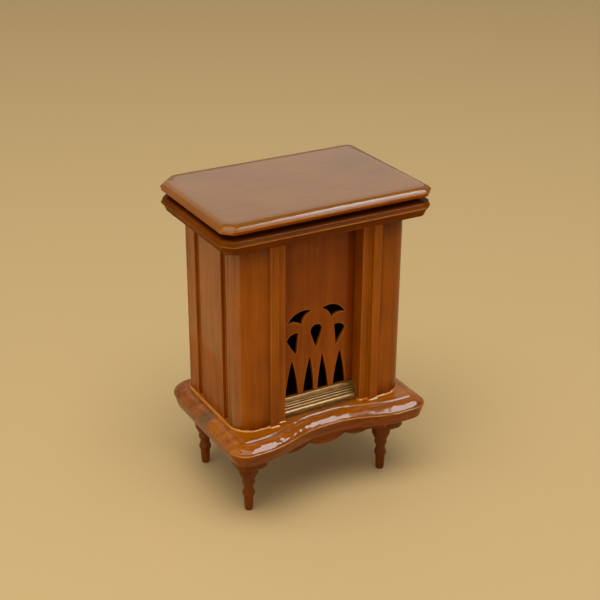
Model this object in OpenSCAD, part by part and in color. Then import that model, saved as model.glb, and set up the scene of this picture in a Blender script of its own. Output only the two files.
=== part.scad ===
// Doll's house console radio: a 1:12 cabinet with a hinged lid, fretwork speaker panel,
// shaped base and turned legs. Origin at the middle of the footprint, on the floor.
// +X is the cabinet's right seen from the front, -Y is the front, +Z is up. Millimetres.

/* [Legs and base] */
// Height of the turned part of a leg
leg_h = 14.8; // [14:0.1:15.4]
// Distance of the leg axes from the middle, across
leg_x = 20.3; // [18:0.1:21]
// Front leg axis
leg_front_y = -11.2; // [-12:0.1:-10]
// Rear leg axis
leg_rear_y = 14.8; // [13:0.1:16]
// Underside of the base board
base_bottom_z = 19.5; // [18:0.1:21]
// Top of the base board
base_top_z = 25.2; // [24:0.1:26]
// Half width of the base board
base_half_w = 28.6; // [27:0.1:29.3]
// How far the base board reaches forward at its two lobes
base_lobe_y = 22; // [21:0.1:22]
// How much the hollow in the middle of its front steps back
base_hollow = 4; // [2:0.1:5]
// How far the base board reaches back
base_rear_y = 21.2; // [20:0.1:22]

/* [Case] */
// Half width of the case
case_half_w = 24.5; // [23.5:0.1:25]
// Front face of the corner posts, from the middle
case_front = 14.8; // [14:0.1:15.4]
// Rear face of the case, from the middle
case_rear = 13.7; // [13:0.1:15]
// Height of the case between base board and cornice
case_h = 50.1; // [45:0.1:55]
// Thickness of the side panels
side_t = 2.5; // [2:0.1:3]
// Radius of the round front corner posts
post_r = 5.5; // [4:0.1:5.5]
// Width of each flat pilaster strip
strip_w = 2.4; // [2:0.1:2.6]
// Half width of the opening between the pilasters
opening_half_w = 11; // [10:0.1:12]
// Front face of the fretwork panel
panel_y = -10.35; // [-11:0.05:-10]
// Thickness of the fretwork panel
panel_t = 0.8; // [0.6:0.1:1.2]

/* [Lid and cornice] */
// Half width of the lid at its arris
lid_half_w = 29.36; // [28:0.01:30]
// Front arris of the lid
lid_front_y = -18.7; // [-20:0.1:-18]
// Rear arris of the lid
lid_rear_y = 22; // [21:0.1:22]
// Leg of the 45 degree clip at the front corners
front_clip = 2.7; // [2.2:0.1:5]
// Leg of the 45 degree clip at the rear corners
rear_clip = 4.6; // [2.2:0.1:6]
// The same at the rear right corner of the lid, which is hardly clipped
rear_clip_right = 1.6; // [1.2:0.1:6]
// Radius that eases both ends of a clip
corner_ease = 1.6; // [0.5:0.1:2]
// Thickness of the cornice
cornice_h = 3.7; // [3:0.1:4]
// Height of the dark reveal between cornice and lid board
reveal_h = 1.6; // [1.5:0.1:2]
// Thickness of the lid board
lid_t = 2.4; // [2:0.1:3]

/* [Hinges and controls] */
// Distance of each hinge from the middle
hinge_x = 15; // [12:0.5:18]
// Length of a hinge along its pin
hinge_w = 6; // [5:0.1:8]
// Diameter of the hinge pins
pin_d = 0.6; // [0.5:0.05:0.7]
// Diameter of the two knobs
knob_d = 3.6; // [3:0.1:5]
// Distance of each knob from the middle
knob_x = 12; // [10:0.5:14]

/* [Hidden] */

cyl_fn = 48;        // facets drawn on round bores and pins
arc_steps = 6;      // segments of a rounded corner
wood = "#a8621c";   // amber walnut stain
wood_dark = "#6f3a12";
brass = "#b09a45";

// Heights of the stack
cornice_z = base_top_z + case_h;
cornice_top_z = cornice_z + cornice_h;
lid_z = cornice_top_z + reveal_h;
lid_top_z = lid_z + lid_t;

// Places inside the case
side_in_x = case_half_w - side_t;
strip_out_x = opening_half_w + 2 * strip_w;
strip_in_x = opening_half_w + strip_w;
strip_proud = 0.65;          // outer strip in front of the post face
strip_back = 0.65;           // inner strip behind the post face
post_back_y = post_r - case_front;
panel_back_y = panel_y + panel_t;
back_t = 1.2;                // thickness of the back board
back_in_y = case_rear - 0.2 - back_t;
deck_top_z = cornice_z - 3.3;
deck_t = 1.4;
hole_half_w = 19.4;          // opening in the cornice over the well
hole_front_y = -7;
hole_rear_y = 10.6;

// Corner blocks
block_x = 20.5;
block_y = -12.5;
block_half_w = 4.4;
block_half_d = 4.2;
block_r = 3.2;
rear_block_half = 3;

// Hinges
hinge_y = lid_rear_y - 0.8;
hinge_z = cornice_top_z + reveal_h / 2;
knuckle_r = reveal_h / 2 - 0.15;
leaf_t = 0.35;
leaf_front_y = hinge_y - 4.6;
knuckle_gap = 0.1;
run_fit = 0.05;              // radial clearance of a turning pin

// Controls on the deck
knob_y = -3.5;
spindle_d = 1;
knob_h = 2.2;

// ---- outlines -------------------------------------------------------------

// Points of an arc about c, from angle a to b
function arc(c, r, a, b, n = arc_steps) =
    [for (i = [0:n]) c + r * [cos(a + (b - a) * i / n), sin(a + (b - a) * i / n)]];

// Points from p to q along an arc that bulges to the left by s
function bow(p, q, s, n = 8) =
    let (d = q - p, len = norm(d), u = d / len, w = [-u[1], u[0]],
         r = (len * len / 4 + s * s) / (2 * abs(s)), k = s < 0 ? -1 : 1)
    [for (i = [0:n - 1])
        let (x = len * (i / n - 0.5), h = sqrt(r * r - x * x) - (r - abs(s)))
        (p + q) / 2 + x * u + k * h * w];

// Rectangle with clipped corners whose ends are eased; inset by d. rear is the pair [left, right].
function clipped_rect(half_w, y0, y1, front, rear, ease, d) =
    let (r = max(ease - d, 0.15), ends = 0.414 * r - 0.586 * d,
         fk = max(front + ends, 1.2 * r),
         bl = max(rear[0] + ends, 1.2 * r), br = max(rear[1] + ends, 1.2 * r),
         x = half_w - d, f = y0 + d, b = y1 - d)
    concat(
        arc([x - r, b - br], r, 0, 45, 2), arc([x - br, b - r], r, 45, 90, 2),
        arc([-x + bl, b - r], r, 90, 135, 2), arc([-x + r, b - bl], r, 135, 180, 2),
        arc([-x + r, f + fk], r, 180, 225, 2), arc([-x + fk, f + r], r, 225, 270, 2),
        arc([x - fk, f + r], r, 270, 315, 2), arc([x - r, f + fk], r, 315, 360, 2));

// Outline of the lid and the cornice, inset by d
function lid_outline(d, right = rear_clip) =
    clipped_rect(lid_half_w, lid_front_y, lid_rear_y, front_clip, [rear_clip, right], corner_ease, d);

// Front line of the base board: hollow in the middle, full at the lobes
hollow_flat = 2;
lobe_x = 20.5;
function front_line(x) =
    let (t = min(max((abs(x) - hollow_flat) / (lobe_x - hollow_flat), 0), 1))
    -(base_lobe_y - base_hollow) - base_hollow * (1 - cos(180 * t)) / 2;

// Outline of the base board, inset by d
base_corner_r = 4.6;
base_rear_r = 7;
front_steps = 24;
function base_outline(d) =
    let (r = base_corner_r, x = base_half_w - r, f = r - base_lobe_y,
         rr = base_rear_r, rx = base_half_w - rr, b = base_rear_y - rr)
    concat(
        arc([rx, b], rr - d, 0, 90), arc([-rx, b], rr - d, 90, 180),
        arc([-x, f], r - d, 180, 270),
        [for (i = [0:front_steps])
            let (u = lobe_x * (2 * i / front_steps - 1)) [u, front_line(u) + d]],
        arc([x, f], r - d, 270, 360));

// Solid whose sides follow a moulding: each layer is [inset, z] with its own outline, and its
// flat ends are fans about their middle
module moulded(layers, outlines) {
    n = len(outlines[0]);
    m = len(layers);
    rings = [for (j = [0:m - 1]) for (p = outlines[j]) [p[0], p[1], layers[j][1]]];
    middles = [[0, 0, layers[0][1]], [0, 0, layers[m - 1][1]]];
    walls = [for (j = [0:m - 2]) for (i = [0:n - 1])
        let (k = (i + 1) % n)
        each [[j * n + i, (j + 1) * n + k, j * n + k], [j * n + i, (j + 1) * n + i, (j + 1) * n + k]]];
    bottom = [for (i = [0:n - 1]) [i, (i + 1) % n, m * n]];
    top = [for (i = [0:n - 1]) [(m - 1) * n + (i + 1) % n, (m - 1) * n + i, m * n + 1]];
    polyhedron(concat(rings, middles), concat(bottom, walls, top));
}

// Layers of a rounded shoulder that rises from the arris to the flat top
function shoulder(z0, z1, width, power, n = 5) =
    [for (i = [0:n]) let (s = i / n) [width * s, z0 + (z1 - z0) * (1 - pow(1 - s, power))]];

// ---- base -------------------------------------------------------------------

arris_z = base_top_z - 2.2;
base_layers = concat([[0.9, base_bottom_z], [0.2, arris_z - 0.4]], shoulder(arris_z, base_top_z, 3.4, 1.7));

// Places of the dowels between base board and case: the two posts and the two rear corners
dowel_d = 1.2;
dowel_depth = 3;
dowel_places = [for (s = [-1, 1]) each [[s * 18, -11.6], [s * (case_half_w - side_t / 2), 10.6]]];

module base_board() {
    color(wood)
    difference() {
        moulded(base_layers, [for (l = base_layers) base_outline(l[0])]);
        for (p = dowel_places)
            translate([p[0], p[1], base_top_z - dowel_depth])
                cylinder(d = dowel_d, h = dowel_depth + 1, $fn = cyl_fn);
    }
}

// Footprint of a block: a rectangle with round corners
module block_outline(half_w, half_d, r) {
    square([2 * half_w, 2 * (half_d - r)], center = true);
    square([2 * (half_w - r), 2 * half_d], center = true);
    for (i = [-1, 1])
        for (j = [-1, 1])
            translate([i * (half_w - r), j * (half_d - r)])
                circle(r = r, $fn = cyl_fn);
}

// Scalloped skirt between the front corner blocks: a middle lobe, two side lobes, and ends that
// sweep down and are cut to the round sides of the blocks
apron_y = -16.6;
apron_t = 1.4;
apron_half_w = 18.2;
lobe_drop = 2.6;
cusp = [5.4, -1.1];
side_lobe_end = [12.2, -2.2];
apron_foot = 3.5;
glue_line = 0.03;     // gap between apron and block
module front_apron() {
    right = concat(
        bow([0, -lobe_drop], cusp, -0.4, 6),
        bow(cusp, side_lobe_end, -0.75, 8),
        bow(side_lobe_end, [apron_half_w, -apron_foot], 0.25, 4),
        [[apron_half_w, -apron_foot], [apron_half_w, 0]]);
    left = [for (i = [len(right) - 1:-1:1]) [-right[i][0], right[i][1]]];
    color(wood)
    difference() {
        translate([0, apron_y + apron_t, base_bottom_z])
            rotate([90, 0, 0])
                linear_extrude(apron_t)
                    polygon(concat(left, right));
        for (sx = [-1, 1])
            translate([sx * block_x, block_y, leg_h])
                linear_extrude(base_bottom_z - leg_h + 1)
                    block_outline(block_half_w + glue_line, block_half_d + glue_line, block_r + glue_line);
    }
}

// Block between base board and leg, bored for the leg's tenon
tenon_d = 2.4;
tenon_h = 4;
module corner_block(x, y, half_w, half_d, r, bore_x, bore_y) {
    color(wood)
    difference() {
        translate([x, y, leg_h])
            linear_extrude(base_bottom_z - leg_h)
                block_outline(half_w, half_d, r);
        translate([bore_x, bore_y, leg_h - 1])
            cylinder(d = tenon_d, h = tenon_h + 1, $fn = cyl_fn);
    }
}

// Wide round block that shows beside each front leg
module front_block(sx) {
    corner_block(sx * block_x, block_y, block_half_w, block_half_d, block_r, sx * leg_x, leg_front_y);
}

// Small block hidden over each rear leg
module rear_block(sx) {
    corner_block(sx * leg_x, leg_rear_y, rear_block_half, rear_block_half, 0.6, sx * leg_x, leg_rear_y);
}

// Turned leg: round foot, taper, bulge, waist, ring, flare and a tenon on top
module leg(sx, y) {
    foot = arc([0.7, 0.35], 0.35, -90, 0, 3);
    shaft = [[1.3, 3.9], [1.45, 4.15]];
    bulge = arc([0.75, 5.1], 0.98, -50, 55, 5);
    waist = [[1.3, 6.6], [1.35, 7.3]];
    ring = arc([1.2, 8.1], 0.6, -70, 70, 5);
    notch = [[1.62, 8.85], [1.62, 9.1]];
    flare = arc([0.9, 10.1], 1.4, -35, 15, 5);
    color(wood_dark)
    translate([sx * leg_x, y, 0])
        rotate_extrude($fn = cyl_fn)
            polygon(concat([[0, 0]], foot, shaft, bulge, waist, ring, notch, flare,
                [[2.4, 11.1], [2.6, 12], [2.7, leg_h], [tenon_d / 2, leg_h],
                 [tenon_d / 2, leg_h + tenon_h - 0.2], [0, leg_h + tenon_h - 0.2]]));
}

// ---- case -------------------------------------------------------------------

flute_w = 2.6;
flute_depth = 1;
flute_y = 7.3;
flute_top = 3;       // plain wood left above a flute
module side_panel(sx) {
    color(wood)
    difference() {
        translate([sx > 0 ? side_in_x : -case_half_w, post_back_y, base_top_z])
            cube([side_t, case_rear - post_back_y, case_h]);
        for (y = [-flute_y, flute_y])
            translate([sx * case_half_w - flute_depth, y - flute_w / 2, base_top_z - 1])
                cube([2 * flute_depth, flute_w, case_h - flute_top + 1]);
        for (p = dowel_places)
            if (p[0] * sx > 0)
                translate([p[0], p[1], base_top_z - 1])
                    cylinder(d = dowel_d, h = dowel_depth + 1, $fn = cyl_fn);
    }
}

module corner_post(sx) {
    color(wood)
    mirror([sx < 0 ? 1 : 0, 0, 0])
        translate([0, 0, base_top_z])
            difference() {
                linear_extrude(case_h)
                    union() {
                        translate([strip_in_x, -case_front])
                            square([case_half_w - post_r - strip_in_x, post_r]);
                        intersection() {
                            translate([case_half_w - post_r, post_back_y])
                                circle(r = post_r, $fn = 96);
                            translate([case_half_w - post_r, -case_front])
                                square(post_r);
                        }
                    }
                translate([dowel_places[2][0], dowel_places[2][1], -1])
                    cylinder(d = dowel_d, h = dowel_depth + 1, $fn = cyl_fn);
            }
}

module outer_strip(sx) {
    color(wood)
    translate([sx > 0 ? strip_in_x : -strip_out_x, -case_front - strip_proud, base_top_z])
        cube([strip_w, strip_proud, case_h]);
}

module inner_strip(sx) {
    color(wood)
    translate([sx > 0 ? opening_half_w : -strip_in_x, strip_back - case_front, base_top_z])
        cube([strip_w, panel_y + case_front - strip_back, case_h]);
}

// Cut-outs of the fretwork, right half: crescent, half drop and two tall petals
crescent = concat(
    bow([1.35, 52.6], [8.4, 50.2], 1.6, 12),
    bow([8.4, 50.2], [4.3, 49.3], -0.65, 8),
    bow([4.3, 49.3], [1.35, 52.6], -0.75, 8));
half_drop = concat(
    bow([5.2, 47.25], [8.6, 45.6], 0.75, 8),
    bow([8.6, 45.6], [5.8, 41.2], 0.15, 4),
    [[5.8, 41.2]]);
drop = concat(
    bow([0, 41.9], [-1.7, 46.6], 0.1, 4),
    arc([0, 46.75], 1.75, 180, 0, 12),
    bow([1.7, 46.6], [0, 41.9], 0.1, 4));
petal_top = 39.5;
petal_foot = 29.5;
function petal(x, in_x, out_x, belly) = concat(
    bow([in_x, petal_foot], [x - 0.2, petal_top - 0.25], belly, 8),
    arc([x, petal_top - 0.22], 0.2, 180, 0, 4),
    bow([x + 0.2, petal_top - 0.25], [out_x, petal_foot], belly, 8),
    [[out_x, petal_foot]]);

module fret_panel() {
    color(wood)
    translate([0, panel_back_y, 0])
        rotate([90, 0, 0])
            linear_extrude(panel_t)
                difference() {
                    translate([-strip_in_x, base_top_z])
                        square([2 * strip_in_x, case_h]);
                    polygon(drop);
                    for (m = [0, 1])
                        mirror([m, 0]) {
                            polygon(crescent);
                            polygon(half_drop);
                            polygon(petal(1.85, 0.5, 3.85, 0.2));
                            polygon(petal(7.05, 5.1, 8.95, 0.25));
                        }
                }
}

// Reeded brass strip along the foot of the opening: five beads on a slope
bead_r = 0.42;
bead_places = [[0.5, 4.1], [1, 3.4], [1.45, 2.6], [1.85, 1.8], [2.2, 1]];
module gilt_moulding() {
    color(brass)
    translate([opening_half_w, panel_y, base_top_z])
        rotate([90, 0, -90])
            linear_extrude(2 * opening_half_w)
                union() {
                    polygon(concat([[0, 0], [0, bead_places[0][1]]], bead_places, [[2.6, 0.5], [2.6, 0]]));
                    for (p = bead_places)
                        translate(p)
                            circle(r = bead_r, $fn = 24);
                }
}

module back_board() {
    color(wood_dark)
    translate([-side_in_x, back_in_y, base_top_z])
        cube([2 * side_in_x, back_t, case_h]);
}

module case_dowels() {
    color("#d9b77c")
    for (p = dowel_places)
        translate([p[0], p[1], base_top_z - dowel_depth])
            cylinder(d = dowel_d, h = 2 * dowel_depth - 0.2, $fn = cyl_fn);
}

// Stick with a triangular section that braces a side panel on the base board
module glue_block(sx) {
    color("#c89a5c")
    mirror([sx < 0 ? 1 : 0, 0, 0])
        translate([side_in_x, 8, base_top_z])
            rotate([90, 0, 0])
                linear_extrude(14)
                    polygon([[0, 0], [-2.2, 0], [0, 2.2]]);
}

module deck_cleat(sx) {
    color("#c89a5c")
    translate([sx > 0 ? side_in_x - 2 : -side_in_x, post_back_y + 2, deck_top_z - deck_t - 2])
        cube([2, back_in_y - post_back_y - 4, 2]);
}

// Board in the well under the lid that carries the controls
module deck_board() {
    color(wood)
    difference() {
        translate([-side_in_x, post_back_y, deck_top_z - deck_t])
            cube([2 * side_in_x, back_in_y - post_back_y, deck_t]);
        for (sx = [-1, 1])
            translate([sx * knob_x, knob_y, deck_top_z - deck_t - 1])
                cylinder(d = spindle_d + 2 * run_fit, h = deck_t + 2, $fn = cyl_fn);
    }
}

dial_w = 13;
dial_r = 6.5;
dial_y = -4.5;
dial_t = 0.4;
module dial_plate() {
    color(brass)
    translate([0, dial_y, deck_top_z])
        linear_extrude(dial_t)
            intersection() {
                circle(r = dial_r, $fn = 96);
                translate([-dial_r, -0.8])
                    square([dial_w, dial_r + 1]);
            }
}

module dial_pointer() {
    color(wood_dark)
    translate([0, dial_y, deck_top_z + dial_t])
        union() {
            cylinder(d = 1.4, h = 0.6, $fn = cyl_fn);
            rotate([0, 0, 62])
                translate([0, -0.15, 0])
                    cube([dial_r - 1.3, 0.3, 0.25]);
        }
}

// Turned knob with a ring of finger flutes, bored for its spindle
module knob(sx) {
    color(wood_dark)
    translate([sx * knob_x, knob_y, deck_top_z + 0.15])
        difference() {
            rotate_extrude($fn = cyl_fn)
                polygon([[0, 0], [knob_d / 2, 0], [knob_d / 2, knob_h - 0.5],
                    [knob_d / 2 - 0.5, knob_h], [0, knob_h]]);
            translate([0, 0, -1])
                cylinder(d = spindle_d, h = knob_h - 0.6 + 1, $fn = cyl_fn);
            for (i = [0:11])
                rotate([0, 0, 30 * i])
                    translate([knob_d / 2 + 0.15, 0, -1])
                        cylinder(r = 0.3, h = knob_h + 2, $fn = 16);
        }
}

module spindle(sx) {
    color(brass)
    translate([sx * knob_x, knob_y, deck_top_z - deck_t - 0.6])
        cylinder(d = spindle_d, h = deck_t + 0.6 + 0.15 + knob_h - 0.6, $fn = cyl_fn);
}

// ---- cornice and lid -----------------------------------------------------------

cornice_layers = [[1.1, cornice_z], [0.3, cornice_z + 1.6], [0, cornice_z + 2],
    [0.5, cornice_z + 2.5], [0.75, cornice_z + 3.1], [0.75, cornice_top_z]];
module cornice() {
    color(wood)
    difference() {
        moulded(cornice_layers, [for (l = cornice_layers) lid_outline(l[0])]);
        translate([-hole_half_w, hole_front_y, cornice_z - 1])
            cube([2 * hole_half_w, hole_rear_y - hole_front_y, cornice_h + 2]);
        nail_holes(cornice_top_z - nail_len + leaf_t);
    }
}

rim_inset = 2.9;
rim_w = 2.4;
module lid_rim() {
    outer = lid_outline(rim_inset);
    inner = lid_outline(rim_inset + rim_w);
    color(wood_dark)
    difference() {
        translate([0, 0, cornice_top_z])
            linear_extrude(reveal_h)
                difference() {
                    polygon(outer);
                    polygon(inner);
                }
        for (sx = [-1, 1])
            for (z = [cornice_top_z - 1, lid_z - leaf_t - run_fit])
                translate([sx * hinge_x - hinge_w / 2 - run_fit, leaf_front_y - run_fit, z])
                    cube([hinge_w + 2 * run_fit, 6, leaf_t + run_fit + 1]);
    }
}

lid_arris_z = lid_top_z - 1.7;
lid_layers = concat([[0.5, lid_z], [0.1, lid_arris_z - 0.15]], shoulder(lid_arris_z, lid_top_z, 2.1, 1.5));
module lid_board() {
    color(wood)
    difference() {
        moulded(lid_layers, [for (l = lid_layers) lid_outline(l[0], rear_clip_right)]);
        nail_holes(lid_z - leaf_t);
    }
}

// Headless nails that hold the hinge leaves, two to a leaf
nail_d = 0.6;
nail_len = 2;
nail_y = leaf_front_y + 1;
module nail_holes(z) {
    for (sx = [-1, 1])
        for (dx = [-1.8, 1.8])
            translate([sx * hinge_x + dx, nail_y, z])
                cylinder(d = nail_d, h = nail_len, $fn = 24);
}

module hinge_nails_fixed() {
    color(brass)
    nail_holes(cornice_top_z - nail_len + leaf_t);
}

module hinge_nails_lid() {
    color(brass)
    nail_holes(lid_z - leaf_t);
}

// Lengths of the knuckles along the pin: the fixed leaf has the two outer ones
knuckle_mid = hinge_w / 2.4;

module knuckle(x0, x1, bore) {
    translate([x0, hinge_y, hinge_z])
        rotate([0, 90, 0])
            difference() {
                cylinder(r = knuckle_r, h = x1 - x0, $fn = cyl_fn);
                translate([0, 0, -1])
                    cylinder(d = bore, h = x1 - x0 + 2, $fn = cyl_fn);
            }
}

// Flat of a leaf with tongues that reach the knuckles between x0 and x1
module leaf_plate(z, spans) {
    translate([-hinge_w / 2, leaf_front_y, z])
        cube([hinge_w, hinge_y - knuckle_r - 0.25 - leaf_front_y, leaf_t]);
    for (s = spans)
        translate([s[0], leaf_front_y + 2, z])
            cube([s[1] - s[0], hinge_y - leaf_front_y - 2, leaf_t]);
}

module hinge_fixed_leaf(sx) {
    spans = [[-hinge_w / 2, -knuckle_mid / 2 - knuckle_gap], [knuckle_mid / 2 + knuckle_gap, hinge_w / 2]];
    color(brass)
    translate([sx * hinge_x, 0, 0])
        difference() {
            union() {
                leaf_plate(cornice_top_z, spans);
                for (s = spans)
                    knuckle(s[0], s[1], pin_d);
            }
            translate([-sx * hinge_x, 0, 0])
                nail_holes(cornice_top_z - nail_len + leaf_t);
            translate([-hinge_w, hinge_y, hinge_z])
                rotate([0, 90, 0])
                    cylinder(d = pin_d, h = 2 * hinge_w, $fn = cyl_fn);
        }
}

module hinge_lid_leaf(sx) {
    span = [-knuckle_mid / 2, knuckle_mid / 2];
    color(brass)
    translate([sx * hinge_x, 0, 0])
        difference() {
            union() {
                leaf_plate(lid_z - leaf_t, [span]);
                knuckle(span[0], span[1], pin_d + 2 * run_fit);
            }
            translate([-sx * hinge_x, 0, 0])
                nail_holes(lid_z - leaf_t);
            translate([-hinge_w, hinge_y, hinge_z])
                rotate([0, 90, 0])
                    cylinder(d = pin_d + 2 * run_fit, h = 2 * hinge_w, $fn = cyl_fn);
        }
}

module hinge_pin(sx) {
    color(brass)
    translate([sx * hinge_x - hinge_w / 2, hinge_y, hinge_z])
        rotate([0, 90, 0])
            cylinder(d = pin_d, h = hinge_w, $fn = cyl_fn);
}

// ---- assembly --------------------------------------------------------------------

base_board();
front_apron();
front_block(-1);  // corner_block_front_left
front_block(1);  // corner_block_front_right
rear_block(-1);  // corner_block_rear_left
rear_block(1);  // corner_block_rear_right
leg(-1, leg_front_y);  // leg_front_left
leg(1, leg_front_y);  // leg_front_right
leg(-1, leg_rear_y);  // leg_rear_left
leg(1, leg_rear_y);  // leg_rear_right
side_panel(-1);  // side_panel_left
side_panel(1);  // side_panel_right
corner_post(-1);  // corner_post_left
corner_post(1);  // corner_post_right
outer_strip(-1);  // outer_strip_left
outer_strip(1);  // outer_strip_right
inner_strip(-1);  // inner_strip_left
inner_strip(1);  // inner_strip_right
fret_panel();
gilt_moulding();
back_board();
case_dowels();
glue_block(-1);  // glue_block_left
glue_block(1);  // glue_block_right
deck_cleat(-1);  // deck_cleat_left
deck_cleat(1);  // deck_cleat_right
deck_board();
dial_plate();
dial_pointer();
knob(1);  // tuning_knob
knob(-1);  // volume_knob
spindle(1);  // tuning_spindle
spindle(-1);  // volume_spindle
cornice();
lid_rim();
lid_board();
hinge_fixed_leaf(-1);  // hinge_fixed_leaf_left
hinge_fixed_leaf(1);  // hinge_fixed_leaf_right
hinge_lid_leaf(-1);  // hinge_lid_leaf_left
hinge_lid_leaf(1);  // hinge_lid_leaf_right
hinge_pin(-1);  // hinge_pin_left
hinge_pin(1);  // hinge_pin_right
hinge_nails_fixed();
hinge_nails_lid();
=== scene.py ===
"""Looks of the doll's house console radio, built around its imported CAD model.

Lengths are written in millimetres and become metres where a mesh is made.
"""
import math

import bmesh
import bpy
from mathutils import Matrix, Vector, noise


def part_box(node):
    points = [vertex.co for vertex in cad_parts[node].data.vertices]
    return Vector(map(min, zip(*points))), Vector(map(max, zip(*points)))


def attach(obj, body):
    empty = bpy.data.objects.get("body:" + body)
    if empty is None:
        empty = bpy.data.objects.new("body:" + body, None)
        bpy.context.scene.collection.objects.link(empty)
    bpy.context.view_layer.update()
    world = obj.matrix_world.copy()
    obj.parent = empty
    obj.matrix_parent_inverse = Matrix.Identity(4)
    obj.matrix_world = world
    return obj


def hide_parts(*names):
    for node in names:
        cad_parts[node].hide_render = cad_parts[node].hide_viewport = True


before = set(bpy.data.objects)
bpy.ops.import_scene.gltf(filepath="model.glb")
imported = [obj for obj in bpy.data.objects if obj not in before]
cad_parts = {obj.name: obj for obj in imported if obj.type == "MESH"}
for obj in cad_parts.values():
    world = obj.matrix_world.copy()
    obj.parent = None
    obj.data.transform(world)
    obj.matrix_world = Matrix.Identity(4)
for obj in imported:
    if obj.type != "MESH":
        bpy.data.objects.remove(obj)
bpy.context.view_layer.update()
scene = bpy.context.scene
MM = 0.001

# ---- camera, floor and light ---------------------------------------------------

CAMERA_AZIMUTH = 29.733      # degrees round from the front, towards the cabinet's left
CAMERA_ELEVATION = 25.284
CAMERA_ROLL = 0.373
CAMERA_DISTANCE = 324.67
CAMERA_LENS = 74.77          # on a 36 mm sensor
CAMERA_TARGET = (2.086, 1.75, 49.77)


def make_camera():
    """A camera at the photo's viewpoint, fitted to the straight edges of the cabinet."""
    azimuth, elevation, roll = (math.radians(a) for a in (CAMERA_AZIMUTH, CAMERA_ELEVATION, CAMERA_ROLL))
    back = Vector((-math.sin(azimuth) * math.cos(elevation), -math.cos(azimuth) * math.cos(elevation),
                   math.sin(elevation)))
    right = (-back).cross(Vector((0, 0, 1))).normalized()
    up = right.cross(-back)
    rolled_right = right * math.cos(roll) + up * math.sin(roll)
    rolled_up = up * math.cos(roll) - right * math.sin(roll)
    data = bpy.data.cameras.new("camera")
    data.lens = CAMERA_LENS
    data.sensor_width = 36
    data.clip_start = 0.01
    camera = bpy.data.objects.new("camera", data)
    scene.collection.objects.link(camera)
    turn = Matrix((rolled_right, rolled_up, back)).transposed().to_4x4()
    camera.matrix_world = Matrix.Translation((Vector(CAMERA_TARGET) + back * CAMERA_DISTANCE) * MM) @ turn
    scene.camera = camera


def area_light(name, place, aim, size, radiance, colour, gloss_only=True):
    """A soft rectangular light at place, turned to aim, both in millimetres.

    A gloss_only light shows in reflections, and doesn't light matt surfaces.
    """
    data = bpy.data.lights.new(name, "AREA")
    data.shape = "RECTANGLE"
    data.size, data.size_y = size[0] * MM, size[1] * MM
    data.energy = radiance * math.pi * data.size * data.size_y
    data.color = colour
    light = bpy.data.objects.new(name, data)
    light.location = Vector(place) * MM
    light.rotation_euler = (Vector(aim) - Vector(place)).to_track_quat("-Z", "Y").to_euler()
    light.visible_camera = False
    light.visible_diffuse = not gloss_only
    scene.collection.objects.link(light)


WARM_WHITE = (1.0, 0.93, 0.82)
HONEY_GLOW = (1.0, 0.80, 0.36)


def make_light():
    """A warm room with one soft light from above.

    The other lights stand in for what the lacquer reflects. reveal_card also brightens the recess
    under the lid.
    """
    world = bpy.data.worlds.new("studio")
    world.use_nodes = True
    scene.world = world
    background = world.node_tree.nodes["Background"]
    background.inputs["Color"].default_value = (*WARM_WHITE, 1)
    background.inputs["Strength"].default_value = 0.38
    area_light("overhead", (-170, -230, 860), (0, 0, 40), (800, 580), 3.9, (1.0, 0.98, 0.94),
               gloss_only=False)
    area_light("window", (340, -262, 638), (0, -18, 60), (420, 300), 16.0, (0.90, 0.93, 0.93))
    area_light("wall_card", (150, 330, 305), (150, 0, 305), (520, 230), 0.55, (1.0, 0.96, 0.84))
    area_light("side_card", (-55, 26, 36), (0, 26, 36), (110, 62), 0.46, HONEY_GLOW)
    area_light("reveal_card", (-130, -30, 76), (0, -30, 76), (160, 26), 0.7, (1.0, 0.88, 0.70),
               gloss_only=False)
    area_light("post_card", (-54, -8, 36), (0, -8, 36), (44, 62), 1.3, HONEY_GLOW)
    area_light("front_card", (170, -320, 130), (0, 0, 40), (400, 110), 2.4, (1.0, 0.78, 0.42))
    scene.view_settings.view_transform = "Standard"


FLOOR_HALF = 1500
FLOOR_COLOUR = (0.66, 0.475, 0.225)


def make_floor():
    half = FLOOR_HALF * MM
    corners = [(-half, -half, 0), (half, -half, 0), (half, half, 0), (-half, half, 0)]
    mesh = bpy.data.meshes.new("floor")
    mesh.from_pydata(corners, [], [(0, 1, 2, 3)])
    floor = bpy.data.objects.new("floor", mesh)
    scene.collection.objects.link(floor)
    material = bpy.data.materials.new("floor")
    material.use_nodes = True
    shader = material.node_tree.nodes["Principled BSDF"]
    shader.inputs["Base Color"].default_value = (*FLOOR_COLOUR, 1)
    shader.inputs["Roughness"].default_value = 0.7
    shader.inputs["Specular IOR Level"].default_value = 0.1
    mesh.materials.append(material)


# ---- materials --------------------------------------------------------------------


LINE_SEED = 31      # of the noise that breaks up the painted highlight along an arris
PATCH_SEED = 37     # of the noise that frays the greyish patch


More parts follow.
